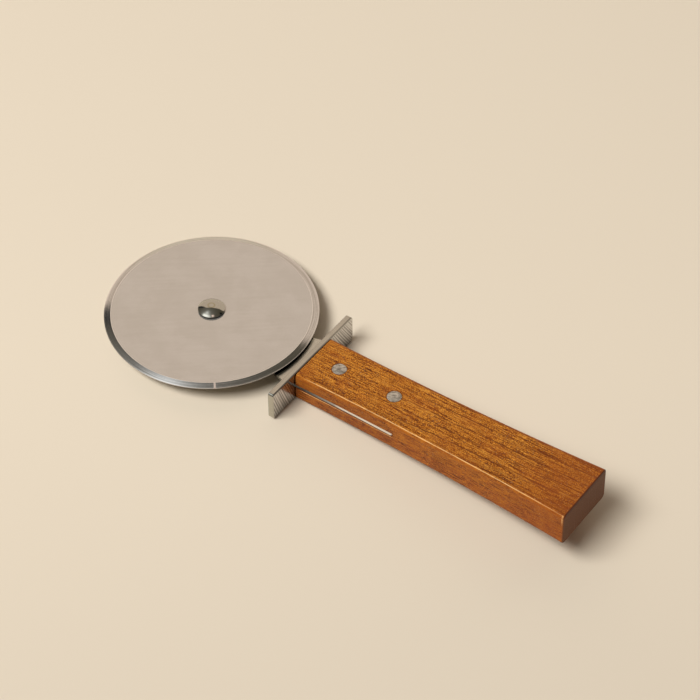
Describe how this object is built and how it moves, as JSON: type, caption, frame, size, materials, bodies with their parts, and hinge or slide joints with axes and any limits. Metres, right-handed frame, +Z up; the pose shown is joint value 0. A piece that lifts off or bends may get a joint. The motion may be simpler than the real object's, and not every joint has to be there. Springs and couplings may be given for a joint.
{
  "type": "pizza cutter",
  "caption": "Pizza cutter lying as it rests by itself: a bevelled steel wheel on a riveted axle, a flat arm, a crosswise finger guard and a flared wooden handle.",
  "frame": {"origin": "centre of the bounding box at table height: the tool lies as it rests by itself, on the wheel's far rim and the handle's lower front edge", "axes": "+X from the wheel towards the handle's butt, +Y to the left seen from behind the butt, +Z up from the table"},
  "size_m": [0.2538, 0.1, 0.0317],
  "materials": {
    "polished_wheel_steel": "finely polished stainless steel with a brighter ground bevel",
    "polished_rivet_steel": "mirror polished",
    "bush_brass": "turned",
    "washer_steel": "plain",
    "satin_arm_steel": "satin polished stainless steel",
    "satin_guard_steel": "satin, with fine steep grinding lines on the broad faces",
    "oiled_wood": "warm orange-brown hardwood with short dark pores, oiled to a soft gloss",
    "handle_rivet_steel": "brushed, slightly domed heads"
  },
  "bodies": {
    "grip": {"handle": "oiled_wood", "arm_plate": "satin_arm_steel", "finger_guard": "satin_guard_steel", "axle_rivet": "polished_rivet_steel", "axle_bush": "bush_brass", "spacer_washer": "washer_steel", "tail_washer": "washer_steel", "front_rivet_pin": "handle_rivet_steel", "front_rivet_socket": "handle_rivet_steel", "rear_rivet_pin": "handle_rivet_steel", "rear_rivet_socket": "handle_rivet_steel"},
    "wheel": {"cutting_wheel": "polished_wheel_steel"}
  },
  "joints": [
    {"name": "wheel_spin", "type": "hinge", "parent": "grip", "child": "wheel", "pos_m": [-0.07712, 0, 0.00546], "axis": [-0.1008, 0, 0.9949], "continuous": true}
  ]
}
